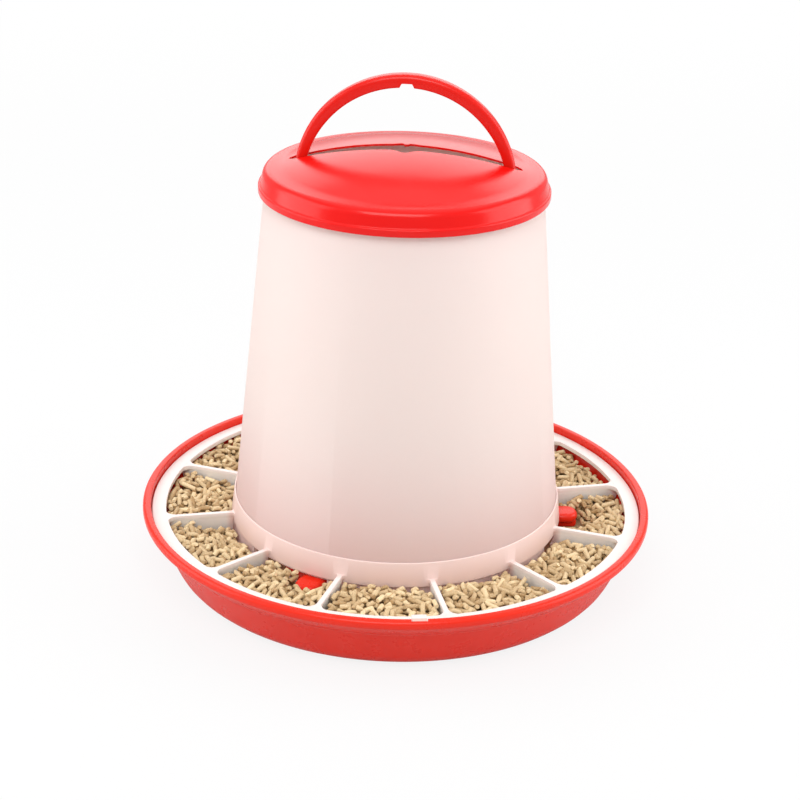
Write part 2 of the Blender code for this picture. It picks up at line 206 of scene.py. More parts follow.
class Finish:
    # a material whose nodes are added one at a time
    def __init__(self, name):
        self.material = bpy.data.materials.new(name)
        self.material.use_nodes = True
        self.tree = self.material.node_tree
        self.shader = self.tree.nodes["Principled BSDF"]
        self.output = self.tree.nodes["Material Output"]

    def node(self, kind, settings=(), out=0, **values):
        made = self.tree.nodes.new("ShaderNode" + kind)
        for name, value in dict(settings).items():
            setattr(made, name, value)
        for name, value in values.items():
            self.feed(made.inputs[name.replace("_", " ")], value)
        return Wire(self.tree, made.outputs[out])

    def feed(self, place, value):
        if isinstance(value, Wire):
            self.tree.links.new(value.socket, place)
        elif place.type == "RGBA":
            place.default_value = (*value, 1.0)
        else:
            place.default_value = value

    def mix(self, first, second, factor):
        made = self.tree.nodes.new("ShaderNodeMix")
        made.data_type = "RGBA"
        self.feed(made.inputs[0], factor)
        self.feed(made.inputs[6], first)
        self.feed(made.inputs[7], second)
        return Wire(self.tree, made.outputs[2])

    def place(self, scale=(1, 1, 1)):
        coordinates = self.node("TexCoord", out=3)
        return self.node("Mapping", Vector=coordinates, Scale=scale)

    def height(self):
        spread = self.tree.nodes.new("ShaderNodeSeparateXYZ")
        self.tree.links.new(self.node("TexCoord", out=3).socket, spread.inputs[0])
        return Wire(self.tree, spread.outputs[2])

    def noise(self, scale, detail=3.0, roughness=0.55, stretch=(1, 1, 1)):
        return self.node(
            "TexNoise", Vector=self.place(stretch), Scale=scale, Detail=detail, Roughness=roughness
        )

    def between(self, value, low, high, first=0.0, last=1.0):
        made = self.tree.nodes.new("ShaderNodeMapRange")
        made.interpolation_type = "SMOOTHSTEP"
        self.feed(made.inputs["Value"], value)
        for name, number in (("From Min", low), ("From Max", high), ("To Min", first), ("To Max", last)):
            made.inputs[name].default_value = number
        return Wire(self.tree, made.outputs[0])

    def reach(self):
        # distance from the upright axis
        return self.node("VectorMath", {"operation": "LENGTH"}, out=1, Vector=self.place((1, 1, 0)))

    def bump(self, height, strength, distance):
        return self.node("Bump", Height=height, Strength=strength, Distance=distance)

    def set(self, **values):
        for name, value in values.items():
            self.feed(self.shader.inputs[name.replace("_", " ")], value)
        return self.material

    def glow(self, colour, share):
        # part of the light comes through the wall instead of off it
        through = self.tree.nodes.new("ShaderNodeBsdfTranslucent")
        self.feed(through.inputs["Color"], colour)
        blend = self.tree.nodes.new("ShaderNodeMixShader")
        blend.inputs[0].default_value = share
        self.tree.links.new(self.shader.outputs[0], blend.inputs[1])
        self.tree.links.new(through.outputs[0], blend.inputs[2])
        self.tree.links.new(blend.outputs[0], self.output.inputs[0])


def redPlastic(name, deep, light, roughness):
    # moulded plastic: an even red, slightly cloudy, with a faint ripple
    finish = Finish(name)
    cloud = finish.noise(26.0, 2.0)
    ripple = finish.noise(55.0, 1.0, 0.4)
    wear = finish.noise(70.0, 3.0, 0.6)
    return finish.set(
        Base_Color=finish.mix(deep, light, cloud),
        Roughness=(wear - 0.5) * 0.08 + roughness,
        Normal=finish.bump(ripple, 0.05, 0.0010),
        Specular_IOR_Level=0.28,
        IOR=1.50,
    )


def whitePlastic():
    # white vanes and ring; below the ring the vane faces are painted a brighter white, painted light that
    # lifts the shade in the cells; the collar and the tabs are painted pink for the red light the parts
    # behind pass through them
    finish = Finish("gridWhite")
    cloud = finish.noise(40.0, 3.0)
    ripple = finish.noise(60.0, 1.0, 0.4)
    reach = finish.reach()
    # painted light: the vane faces under the ring top get a brighter white than the ring, lifting the shade
    # in the cells
    low = finish.between(finish.height(), 0.038, 0.0412)
    white = finish.mix((0.99, 0.975, 0.94), (0.90, 0.815, 0.785), low)
    white = finish.mix(white, (0.93, 0.885, 0.85), cloud * 0.25)
    # painted light: the collar is painted a darker pink for the red light from the hopper and pan coming
    # through it, and for shade
    rise = finish.between(finish.height(), 0.034, 0.053)
    collar = finish.mix((0.86, 0.65, 0.60), (0.88, 0.68, 0.63), rise)
    white = finish.mix(collar, white, finish.between(reach, 0.1114, 0.1165))
    # painted light: the tabs over the red lip are painted pink for the lip's red light coming up through them
    white = finish.mix(white, (0.84, 0.50, 0.44), finish.between(reach, 0.1641, 0.1648))
    material = finish.set(
        Base_Color=white,
        Roughness=(cloud - 0.5) * 0.12 + 0.36,
        Normal=finish.bump(ripple, 0.05, 0.0010),
        IOR=1.50,
    )
    finish.glow(white, 0.06)
    return material


def hopperPlastic():
    # milky polyethylene, nearly white at the top; the warmer, pinker and darker tone towards the foot is
    # painted red light from the pan and painted shade
    finish = Finish("hopperMilky")
    height = finish.height()
    cloud = finish.noise(9.0, 2.0, 0.5, (1, 1, 0.35))
    ripple = finish.noise(45.0, 1.0, 0.4, (1, 1, 0.5))
    flow = finish.noise(30.0, 2.0, 0.5, (1, 1, 0.12))
    # painted light: pinker and darker towards the foot, the pan's red light and shade painted on
    rise = finish.between(height + (cloud - 0.5) * 0.05, 0.01, 0.14)
    low = finish.mix((0.955, 0.785, 0.755), (0.97, 0.90, 0.865), rise)
    tone = finish.mix(low, (0.975, 0.905, 0.875), finish.between(height, 0.15, 0.27))
    tone = finish.mix(tone, (0.975, 0.935, 0.915), flow * 0.16)
    material = finish.set(
        Base_Color=tone,
        Roughness=(flow - 0.5) * 0.10 + 0.60,
        Normal=finish.bump(ripple, 0.05, 0.0010),
        IOR=1.50,
    )
    finish.glow(tone, 0.48)
    return material


def pelletFeed(name, dark, pale):
    # each pellet carries its own tint, darkened by painted shade the lower it lies in the heap; bran specks
    # and pressed ridges along it
    finish = Finish(name)
    tint = finish.node("Attribute", {"attribute_name": "tint"}, out=2)
    specks = finish.noise(1400.0, 3.0, 0.7)
    blotch = finish.noise(260.0, 2.0)
    body = finish.mix(dark, pale, tint)
    body = finish.mix(body, (0.95, 0.83, 0.62), finish.between(specks, 0.52, 0.72) * 0.5)
    body = finish.mix(body, (0.30, 0.18, 0.08), finish.between(specks, 0.44, 0.30) * 0.5)
    return finish.set(
        Base_Color=finish.mix(body, (0.66, 0.48, 0.26), blotch * 0.25),
        Roughness=(specks - 0.5) * 0.2 + 0.70,
        Normal=finish.bump(specks, 0.35, 0.0006),
    )


panRed = redPlastic("panRed", (0.73, 0.018, 0.005), (0.79, 0.026, 0.008), 0.28)
lidRed = redPlastic("lidRed", (0.70, 0.004, 0.003), (0.75, 0.006, 0.004), 0.22)
handleRed = redPlastic("handleRed", (0.65, 0.006, 0.002), (0.70, 0.009, 0.003), 0.28)
gridWhite = whitePlastic()
hopperMilky = hopperPlastic()
feedTan = pelletFeed("feedTan", (0.40, 0.24, 0.095), (0.90, 0.72, 0.44))
# painted shade: the bed under the pellets is painted dark brown as the shade in the gaps between them
shadedFeedBed = pelletFeed("shadedFeedBed", (0.16, 0.085, 0.035), (0.30, 0.19, 0.09))
print("materials made")


# Pan

panShape = {
    "radius": panBox[1].x, "height": panBox[1].z, "wall": 0.0025, "lipWidth": 0.0055, "lipFace": 0.0075,
    "base": 0.1342, "fillet": 0.018, "slope": math.radians(66), "ledge": 0.0383,
    "cone": 0.062, "coneTip": 0.006, "coneHeight": 0.044, "coneFootRound": 0.004, "coneTipRound": 0.002,
    "shoulderDrop": 0.0045, "shoulderRound": 0.006, "lipUnderRound": 0.0030, "lipRound": 0.0024,
    "lipInnerRound": 0.0012,
}
lugShape = {
    "first": math.radians(-27.5), "count": 3, "width": 0.017, "bottom": 0.028, "top": 0.0345,
    "outer": 0.124, "post": 0.1065, "postThickness": 0.006, "ribThickness": 0.004, "ribLength": 0.022,
    "corner": 0.0076, "rounding": 0.0029, "noseGap": 0.0004, "postRounding": 0.0006,
    "chinWidth": 0.0115, "chinBottom": 0.0235, "chinStart": 0.006, "chinInset": 0.0008,
    "chinOverlap": 0.003, "chinRounding": 0.0027, "lockTurn": math.radians(24),
}
tabShape = {"first": math.radians(5.6), "count": 2, "width": 0.009, "length": 0.0036, "thickness": 0.004}


def panWallRadius(z):
    shape = panShape
    foot = shape["base"] + shape["fillet"] * math.sin(shape["slope"])
    rise = z - shape["fillet"] * (1 - math.cos(shape["slope"]))
    return foot + rise / math.tan(shape["slope"])


def makePan():
    shape = panShape
    wall = shape["wall"]
    top = shape["height"]
    lipInner = shape["radius"] - shape["lipWidth"]
    ledgeUnder = shape["ledge"] - wall
    shoulder = ledgeUnder - shape["shoulderDrop"]
    thick = wall / math.sin(shape["slope"])
    # the corner where the flat base would meet the straight wall
    corner = panWallRadius(0)
    innerCorner = panWallRadius(wall) - thick
    outline = [
        (0, shape["coneHeight"] - wall, 0),
        (shape["coneTip"] - wall / 2, shape["coneHeight"] - wall, 0.001),
        (shape["cone"] - wall, 0, 0.003), (corner, 0, shape["fillet"]),
        (panWallRadius(shoulder), shoulder, shape["shoulderRound"]),
        (lipInner + 0.0010, ledgeUnder + 0.0006, shape["shoulderRound"]),
        (shape["radius"], top - shape["lipFace"] + 0.0028, shape["lipUnderRound"]),
        (shape["radius"], top, shape["lipRound"]), (lipInner, top, shape["lipInnerRound"]),
        (lipInner, shape["ledge"], 0), (panWallRadius(shape["ledge"]) - thick, shape["ledge"], 0.0006),
        (innerCorner, wall, shape["fillet"] - wall), (shape["cone"], wall, shape["coneFootRound"]),
        (shape["coneTip"] - 0.0005, shape["coneHeight"], shape["coneTipRound"]), (0, shape["coneHeight"], 0),
    ]
    bm = bmesh.new()
    spinOutline(bm, rounded(outline, 7), onAxis=True)
    pan = meshObject("panShell", bm)
    bm = bmesh.new()
    for azimuth in around(tabShape["first"], tabShape["count"]):
        radialBlock(
            bm, lipInner - 0.001, lipInner + tabShape["length"], tabShape["width"] + 0.001,
            top - tabShape["thickness"] - 0.0003, top + 0.001, azimuth,
        )
    combine(pan, meshObject("rimNotches", bm), "DIFFERENCE")
    finishPiece(pan, "pan_body", "pan", panRed)


def makeLugs():
    # each lug is a rounded nose on a post, held by a rib
    shape = lugShape
    sunk = panShape["wall"] * 0.6
    middle = shape["post"] - shape["postThickness"] / 2
    ribInner = shape["post"] - shape["postThickness"] - shape["ribLength"]
    for number, azimuth in enumerate(around(shape["first"], shape["count"]), 1):
        bm = bmesh.new()
        radialBlock(
            bm, middle, shape["outer"], shape["width"] - shape["noseGap"], shape["bottom"], shape["top"],
            azimuth,
        )
        bevelled(bm, [edge for edge in bm.edges if isUpright(edge)], shape["corner"], 6)
        bevelled(bm, [edge for edge in bm.edges if not isUpright(edge)], shape["rounding"], 5)
        lug = meshObject("panLug_%d" % number, bm)
        bm = bmesh.new()
        radialBlock(
            bm, middle + shape["chinStart"], shape["outer"] - shape["chinInset"], shape["chinWidth"],
            shape["chinBottom"], shape["bottom"] + shape["chinOverlap"], azimuth,
        )
        bevelled(bm, bm.edges, shape["chinRounding"], 5)
        combine(lug, meshObject("chin", bm), "UNION")
        bm = bmesh.new()
        radialBlock(
            bm, middle - shape["postThickness"] / 2, shape["post"], shape["width"], sunk,
            shape["top"] - 0.0002, azimuth,
        )
        bevelled(bm, bm.edges, shape["postRounding"], 2)
        combine(lug, meshObject("post", bm), "UNION")
        bm = bmesh.new()
        outline = [
            (ribInner, sunk), (middle, sunk), (middle, shape["bottom"]), (ribInner, 2 * panShape["wall"]),
        ]
        radialPlate(bm, outline, shape["ribThickness"], azimuth)
        combine(lug, meshObject("rib", bm), "UNION")
        finishPiece(lug, "pan_body", "pan", panRed)


makePan()
makeLugs()


# Grid

gridShape = {
    "ringInner": 0.1546, "ringOuter": 0.1640, "top": 0.0415, "thickness": 0.0029, "vanes": 12,
    "firstVane": math.radians(12.5), "vaneThickness": 0.0030, "vaneBottom": gridBox[0].z, "flare": 0.0065,
    "rootFlare": 0.0022, "collarWall": 0.0014, "collarBottom": 0.0365, "collarTop": gridBox[1].z,
    "gap": 0.0002, "overlap": 0.0003, "vaneRoot": 0.0008, "ringReach": 0.0045,
}
hopperShape = {
    "footRadius": 0.1105, "topRadius": 0.0874, "bottom": hopperBox[0].z, "top": hopperBox[1].z,
    "wall": 0.0020,
}


def hopperRadius(z):
    shape = hopperShape
    share = (z - shape["bottom"]) / (shape["top"] - shape["bottom"])
    return shape["footRadius"] + (shape["topRadius"] - shape["footRadius"]) * share


def vaneTop(azimuth):
    # top view of a vane: it widens in an arc where it meets the ring, and a little at the collar
    shape = gridShape
    half = shape["vaneThickness"] / 2
    flare = shape["flare"]
    root = shape["rootFlare"]
    inner = hopperRadius(shape["top"]) + shape["gap"] + shape["collarWall"]
    under = shape["top"] - shape["thickness"]
    side = [(inner - shape["vaneRoot"], half + root)]
    for step in range(5):
        turn = math.pi / 2 * step / 4
        side.append((inner + root - root * math.cos(turn), half + root - root * math.sin(turn)))
    for step in range(9):
        turn = math.pi / 2 * step / 8
        out = shape["ringInner"] - flare + flare * math.sin(turn)
        side.append((out, half + flare - flare * math.cos(turn)))
    side.append((shape["ringInner"] + 0.003, half + flare))
    ring = side + [(r, -across) for r, across in reversed(side)]
    return [spot(r, azimuth, under) + spot(across, azimuth + math.pi / 2) for r, across in ring]


def makeGrid():
    shape = gridShape
    top = shape["top"]
    under = top - shape["thickness"]
    bm = bmesh.new()
    outline = [
        (shape["ringInner"], under, 0), (shape["ringOuter"], under, 0.0004),
        (shape["ringOuter"], top, 0.0009), (shape["ringInner"], top, 0),
    ]
    spinOutline(bm, rounded(outline, 3))
    grid = meshObject("vaneGrid", bm)

    bm = bmesh.new()
    low = hopperRadius(shape["collarBottom"]) + shape["gap"]
    high = hopperRadius(shape["collarTop"]) + shape["gap"]
    outline = [
        (low, shape["collarBottom"], 0), (low + shape["collarWall"], shape["collarBottom"], 0),
        (high + shape["collarWall"] * 0.7, shape["collarTop"], 0.0006), (high, shape["collarTop"], 0.0002),
    ]
    spinOutline(bm, rounded(outline, 3))
    combine(grid, meshObject("collar", bm), "UNION")

    flares = bmesh.new()
    plates = bmesh.new()
    foot = hopperRadius(shape["vaneBottom"]) + 0.001
    wallGap = panShape["wall"] / math.sin(panShape["slope"]) + 0.001
    overlap = shape["overlap"]
    root = hopperRadius(top) + shape["gap"] + shape["vaneRoot"]
    reach = shape["ringInner"] + shape["ringReach"]
    outline = [
        (root, top - overlap), (reach, top - overlap), (reach, under + overlap),
        (panWallRadius(under) - wallGap, under + overlap),
        (panWallRadius(shape["vaneBottom"]) - wallGap, shape["vaneBottom"]), (foot, shape["vaneBottom"]),
        (foot, shape["collarBottom"] + overlap), (root, shape["collarBottom"] + overlap),
    ]
    for azimuth in around(shape["firstVane"], shape["vanes"]):
        extruded(flares, vaneTop(azimuth), (0, 0, shape["thickness"] - 0.0001))
        radialPlate(plates, outline, shape["vaneThickness"] - 0.0001, azimuth)
    combine(grid, meshObject("flares", flares), "UNION")
    combine(grid, meshObject("plates", plates), "UNION")

    bm = bmesh.new()
    tabInner = shape["ringOuter"] - tabShape["thickness"]
    tabOuter = panShape["radius"] - panShape["lipWidth"] + tabShape["length"] - 0.0005
    lip = panShape["height"]
    outline = [
        (tabInner, under + 0.0005), (shape["ringOuter"] - 0.0003, under + 0.0005),
        (shape["ringOuter"] - 0.0003, lip - tabShape["thickness"]), (tabOuter, lip - tabShape["thickness"]),
        (tabOuter, lip - 0.0001), (tabInner, lip - 0.0001),
    ]
    for azimuth in around(tabShape["first"], tabShape["count"]):
        radialPlate(bm, outline, tabShape["width"], azimuth)
    combine(grid, meshObject("tabs", bm), "UNION")
    soften(grid, 0.0005, 50, 2)
    finishPiece(grid, "grid_body", "anti_waste_grid", gridWhite, 30)


makeGrid()


# Hopper

pivotShape = {"height": 0.2633, "azimuth": math.radians(-4.5), "pin": 0.003, "eye": 0.0048}


def rodAlongX(bm, radius, start, end, height, segments=40):
    verts = bmesh.ops.create_cone(
        bm, segments=segments, radius1=radius, radius2=radius, depth=abs(end - start), cap_ends=True
    )["verts"]
    place = Matrix.Translation(((start + end) / 2, 0, height)) @ Matrix.Rotation(math.pi / 2, 4, "Y")
    bmesh.ops.transform(bm, matrix=place, verts=verts)


def sector(bm, inner, outer, bottom, top, start, sweep, steps):
    face = bm.faces.new([bm.verts.new(spot(r, start, z)) for r, z in (
        (inner, bottom), (outer, bottom), (outer, top), (inner, top),
    )])
    bmesh.ops.spin(
        bm, geom=[face], cent=(0, 0, 0), axis=(0, 0, 1), angle=sweep, steps=steps,
        use_merge=False, use_duplicate=False,
    )


def makeHopper():
    shape = hopperShape
    wall = shape["wall"]
    bm = bmesh.new()
    outline = [(shape["footRadius"], shape["bottom"], 0.0005), (shape["topRadius"], shape["top"], 0.0007)]
    outline += [(shape["topRadius"] - wall, shape["top"], 0.0007)]
    outline += [(shape["footRadius"] - wall, shape["bottom"], 0.0005)]
    spinOutline(bm, rounded(outline, 3))
    hopper = meshObject("hopperShell", bm)
    half = math.asin((lugShape["width"] / 2 + 0.001) / shape["footRadius"])
    turn = lugShape["lockTurn"]
    inner = shape["footRadius"] - 0.01
    outer = shape["footRadius"] + 0.002
    slotBottom = lugShape["bottom"] - 0.0005
    slotTop = lugShape["top"] + 0.0003
    slots = bmesh.new()
    mouths = bmesh.new()
    for azimuth in around(lugShape["first"], lugShape["count"]):
        start = azimuth - turn - half
        sector(slots, inner, outer, slotBottom, slotTop, start, turn + 2 * half, 24)
        sector(mouths, inner, outer, shape["bottom"] - 0.002, lugShape["top"], start, 2 * half, 9)
    combine(hopper, meshObject("slots", slots), "DIFFERENCE")
    combine(hopper, meshObject("mouths", mouths), "DIFFERENCE")
    bm = bmesh.new()
    height = pivotShape["height"]
    radius = hopperRadius(height)
    for side in (1, -1):
        rodAlongX(bm, pivotShape["pin"] + 0.0003, side * radius - 0.01, side * radius + 0.01, height)
    aim = Matrix.Rotation(pivotShape["azimuth"], 3, "Z")
    bmesh.ops.rotate(bm, cent=(0, 0, 0), matrix=aim, verts=bm.verts)
    combine(hopper, meshObject("holes", bm), "DIFFERENCE")
    finishPiece(hopper, "hopper_body", "hopper", hopperMilky, 35)


makeHopper()


# Lid

lidShape = {
    "bottom": lidBox[0].z, "seat": hopperBox[1].z + 0.0003, "beadOuter": 0.0922, "beadHeight": 0.0046,
    "bead": 0.0014, "draft": 0.0022, "edge": 0.0058, "crown": 0.0025, "dome": 0.0141, "wall": 0.0013,
    "fit": 0.0008,
}
slotShape = {
    "halfLength": 0.0735, "halfWidth": 0.0067, "endHalfWidth": 0.0032, "pocket": 0.0050, "pocketWidth": 0.017,
    "bulge": 0.0015, "nubWidth": 0.004, "nubLength": 0.0021,
}


def slotOutline():
    shape = slotShape
    swell = shape["halfWidth"] - shape["endHalfWidth"]
    reach = shape["halfLength"] - shape["endHalfWidth"]
    stations = [reach - (reach - shape["pocketWidth"] / 2) * k / 14 for k in range(15)]
    long = shape["halfLength"]
    end = shape["endHalfWidth"]
    tips = [(long, end * 0.25), (long - 0.0008, end * 0.6)]
    side = tips + [(u, end + swell * (1 - (u / long) ** 2)) for u in stations]
    widest = shape["halfWidth"] + shape["bulge"]
    nub = shape["nubWidth"]
    back = side + [(nub, widest), (nub / 2, widest), (nub / 2.6, widest - shape["nubLength"] * 0.8)]
    back += [(nub / 5, widest - shape["nubLength"])]
    deepest = shape["halfWidth"] + shape["pocket"]
    pocketSide = shape["halfWidth"] + shape["pocket"] * 0.45
    front = side + [(0.0045, pocketSide), (0.0018, deepest - 0.0003), (0.0008, deepest)]
    back += [(-u, v) for u, v in reversed(back)]
    front += [(-u, v) for u, v in reversed(front)]
    return back + [(u, -v) for u, v in reversed(front)]


def makeLid():
    shape = lidShape
    wall = shape["wall"]
    bottom = shape["bottom"]
    seat = shape["seat"]
    outer = shape["beadOuter"]
    skirt = outer - shape["bead"]
    edge = skirt - shape["draft"]
    domeEdge = edge - shape["edge"]
    crown = seat + shape["crown"]
    inner = hopperRadius(bottom) + shape["fit"]
    stations = [domeEdge * k / 24 for k in range(24)]
    dome = [(r, crown + shape["dome"] * (1 - (r / domeEdge) ** 2)) for r in stations]
    beadTop = bottom + shape["beadHeight"]
    top = hopperShape["topRadius"]
    rim = [
        (edge, crown + 0.0006, shape["edge"]), (skirt, beadTop + 0.0004, 0.0010),
        (outer, beadTop - 0.0002, 0.0010), (outer, bottom, 0.0006), (inner, bottom, 0.0003),
        (top + shape["fit"], seat, 0.0002), (top - 0.003, seat, 0.0004),
    ]
    rim = rounded([(*dome[-1], 0)] + rim + [(dome[-1][0], dome[-1][1] - wall, 0)], 6)
    outline = dome[:-1] + rim + [(r, z - wall) for r, z in reversed(dome[:-1])]
    bm = bmesh.new()
    spinOutline(bm, outline, onAxis=True)
    lid = meshObject("lidDome", bm)
    turn = Matrix.Rotation(pivotShape["azimuth"], 3, "Z")
    bm = bmesh.new()
    extruded(bm, [turn @ Vector((u, v, seat - 0.001)) for u, v in slotOutline()], (0, 0, 0.03))
    combine(lid, meshObject("slot", bm), "DIFFERENCE")
    finishPiece(lid, "lid_body", "lid", lidRed, 35)


makeLid()


# Handle

handleShape = {
    "outer": 0.07111, "depth": 0.0079, "footDepth": 0.0064, "topWidth": 0.0110, "footWidth": 0.0050,
    "edge": 0.0032, "innerEdge": 0.0009, "notchWidth": 0.009, "notchDepth": 0.0026,
}


def makeHandle():
    # a ring of section points is turned about the pivot axis in small steps, wider towards the top
    shape = handleShape
    steps = 96
    middle = shape["outer"] - shape["depth"] / 2
    bm = bmesh.new()
    rings = []
    for k in range(steps + 1):
        angle = math.pi * k / steps
        rise = math.sin(angle)
        width = shape["footWidth"] + (shape["topWidth"] - shape["footWidth"]) * rise
        depth = shape["footDepth"] + (shape["depth"] - shape["footDepth"]) * min(1, rise * 1.6)
        edge = min(shape["edge"], width * 0.42)
        small = min(shape["innerEdge"], width * 0.2)
        section = rounded([
            (depth / 2, width / 2, edge), (depth / 2, -width / 2, edge), (-depth / 2, -width / 2, small),
            (-depth / 2, width / 2, small),
        ], 5)
        outwards = Vector((math.cos(angle), 0, math.sin(angle)))
        rings.append([bm.verts.new(outwards * (middle + d) + Vector((0, w, 0))) for d, w in section])
    for ring in rings:
        for pair in zip(ring, ring[1:] + ring[:1]):
            bm.edges.new(pair)
    for ring, following in zip(rings, rings[1:]):
        loops = [bm.edges.get(pair) for pair in zip(ring, ring[1:] + ring[:1])]
        loops += [bm.edges.get(pair) for pair in zip(following, following[1:] + following[:1])]
        bmesh.ops.bridge_loops(bm, edges=loops)
    bm.faces.new(rings[0])
    bm.faces.new(rings[-1])
    handle = meshObject("hoopHandle", bm)

    radius = hopperRadius(pivotShape["height"])
    inner = middle - shape["depth"] / 2
    bm = bmesh.new()
    for side in (1, -1):
        rodAlongX(bm, pivotShape["eye"], side * (inner + 0.001), side * (radius - 0.003), 0)
    bevelled(bm, [e for e in bm.edges if len(e.link_faces) == 2 and e.calc_face_angle() > 1], 0.0005, 2)
    combine(handle, meshObject("eyes", bm), "UNION")
    bm = bmesh.new()
    for side in (1, -1):
        rodAlongX(bm, pivotShape["pin"], side * middle, side * radius, 0)
    combine(handle, meshObject("pins", bm), "UNION")
    bm = bmesh.new()
    half = shape["notchWidth"] / 2
    lip = inner - 0.002
    roof = inner + shape["notchDepth"]
    corners = [(-half - 0.0012, lip), (-half + 0.0012, roof - 0.0002), (-half + 0.0018, roof)]
    corners += [(half - 0.0018, roof), (half - 0.0012, roof - 0.0002), (half + 0.0012, lip)]
    extruded(bm, [Vector((u, -0.01, z)) for u, z in corners], (0, 0.02, 0))
    combine(handle, meshObject("hookNotch", bm), "DIFFERENCE")
    place = Matrix.Translation((0, 0, pivotShape["height"])) @ Matrix.Rotation(pivotShape["azimuth"], 4, "Z")
    handle.data.transform(place)
    finishPiece(handle, "handle_body", "handle", handleRed, 42)


makeHandle()


# Feed: a bed under the pellets, painted dark brown as the shade in the gaps between them, with pellets
# dropped on it one at a time

feedShape = {
    "pelletRadius": 0.0016, "shortest": 0.0042, "longest": 0.0095, "bedTop": 0.0245, "inner": 0.1118,
    "outer": 0.1590, "cell": 0.0006, "clearance": 0.0004, "tries": 6, "low": 0.0312, "rise": 0.0074,
    "frontHeap": 0.0062, "dips": (0.0035, 0.0140, 0.0035), "shade": 0.0042, "lowest": 0.0282,
    "sideFall": 0.0042, "unevenness": 0.0020, "dipReach": 0.019, "slotBank": 0.0366, "bedGap": 0.0003,
}


def feedLevel(x, y):
    # the height the heap reaches: it climbs towards the wall, less so on the right and at the back
    r = math.hypot(x, y)
    azimuth = math.atan2(x, -y)
    share = min(1.0, max(0.0, (r - 0.112) / 0.042))
    level = feedShape["low"] + feedShape["rise"] * share ** 0.6
    level += feedShape["frontHeap"] * max(0.0, math.cos(azimuth)) ** 2 * (1 - share)
    side = max(0.0, math.sin(azimuth - math.radians(35)))
    level -= feedShape["sideFall"] * side * max(0.0, share - 0.4) / 0.6
    level += feedShape["unevenness"] * noise.noise(Vector((x * 34, y * 34, 3.1)))
    for lug, dip in zip(around(lugShape["first"], lugShape["count"]), feedShape["dips"]):
        gap = (Vector((x, y)) - spot(0.122, lug - 0.04).to_2d()).length
        level -= dip * max(0.0, 1 - gap / feedShape["dipReach"])
        # where the dip is shallow, feed is banked up over the open end of the lock slot
        behind = (lug - azimuth) % (2 * math.pi)
        if dip < 0.004 and math.radians(4) < behind < math.radians(19) and r < 0.121:
            level = max(level, feedShape["slotBank"])
    return max(level, feedShape["lowest"])


def makeBed():
    shape = feedShape
    wall = panShape["wall"]
    innerCorner = panWallRadius(wall) - wall / math.sin(panShape["slope"]) - shape["clearance"]
    top = shape["bedTop"]
    floor = wall + shape["bedGap"]
    outline = [
        (0.076, floor, 0.001), (innerCorner, floor, panShape["fillet"] - wall),
        (panWallRadius(top) - wall / math.sin(panShape["slope"]) - shape["clearance"], top, 0.002),
        (0.1125, top, 0.001), (0.1075, 0.0205, 0.002),
    ]
    bm = bmesh.new()
    spinOutline(bm, rounded(outline, 4), steps=96)
    bed = meshObject("feedBed", bm)
    bm = bmesh.new()
    for azimuth in around(lugShape["first"], lugShape["count"]):
        radialBlock(bm, 0.062, 0.1078, lugShape["width"] + 0.002, 0, 0.04, azimuth)
    combine(bed, meshObject("postSlots", bm), "DIFFERENCE")
    tint = bed.data.attributes.new("tint", "FLOAT", "POINT")
    tint.data.foreach_set("value", [0.15] * len(bed.data.vertices))
    finishPiece(bed, "pan_body", "feed", shadedFeedBed, 35)


def pelletShapes():
    # a few eight-sided pellets, each with its own broken ends
    made = []
    for kind in range(6):
        bm = bmesh.new()
        bmesh.ops.create_cone(bm, segments=8, radius1=1, radius2=1, depth=1, cap_ends=True)
        caps = [face for face in bm.faces if len(face.verts) == 8]
        rims = list({edge for face in caps for edge in face.edges})
        bmesh.ops.bevel(
            bm, geom=rims, offset=0.12, offset_type="OFFSET", segments=1, affect="EDGES", profile=0.5,
            material=-1,
        )
        tilt = Vector((rng.uniform(-0.12, 0.12), rng.uniform(-0.12, 0.12), 0))
        for vert in bm.verts:
            vert.co.z += vert.co.dot(tilt) * (1 if vert.co.z > 0 else -1)
            vert.co.x *= 1 + rng.uniform(-0.07, 0.07)
            vert.co.y *= 1 + rng.uniform(-0.07, 0.07)
        mesh = bpy.data.meshes.new("pelletShape_%d" % kind)
        bm.to_mesh(mesh)
        bm.free()
        made.append(mesh)
    return made


class Heap:
    # a height map that each new pellet rests on and then raises
    def __init__(self):
        self.cell = feedShape["cell"]
        self.heights = {}

    def key(self, x, y):
        return (round(x / self.cell), round(y / self.cell))

    def at(self, x, y):
        return self.heights.get(self.key(x, y), feedShape["bedTop"])

    def rest(self, x, y, azimuth, length, radius):
        # the lowest way the pellet can lie: its slope and the height of its middle
        along = Vector((math.sin(azimuth), -math.cos(azimuth)))
        across = Vector((math.cos(azimuth), math.sin(azimuth)))
        touches = []
        for k in range(5):
            t = (k / 4 - 0.5) * (length - radius)
            for s in (-0.6 * radius, 0.0, 0.6 * radius):
                point = Vector((x, y)) + along * t + across * s
                lift = math.sqrt(radius * radius - s * s)
                touches.append((t, self.at(point.x, point.y) + lift))
        best = None
        for slope in (-0.75, -0.5, -0.3, -0.12, 0.0, 0.12, 0.3, 0.5, 0.75):
            height = max(h - slope * t for t, h in touches)
            cost = height + 0.0006 * abs(slope)
            if best is None or cost < best[0]:
                best = (cost, slope, height)
        return best[1], best[2]

    def raiseUnder(self, x, y, z, azimuth, slope, length, radius):
        along = Vector((math.sin(azimuth), -math.cos(azimuth)))
        across = Vector((math.cos(azimuth), math.sin(azimuth)))
        count = int(length / self.cell)
        wide = int(radius / self.cell)
        for k in range(count + 1):
            t = (k / count - 0.5) * length
            for j in range(-wide, wide + 1):
                s = j * self.cell
                if abs(s) >= radius:
                    continue
                point = Vector((x, y)) + along * t + across * s
                top = z + slope * t + math.sqrt(radius * radius - s * s)
                key = self.key(point.x, point.y)
                if top > self.heights.get(key, -1.0):
                    self.heights[key] = top


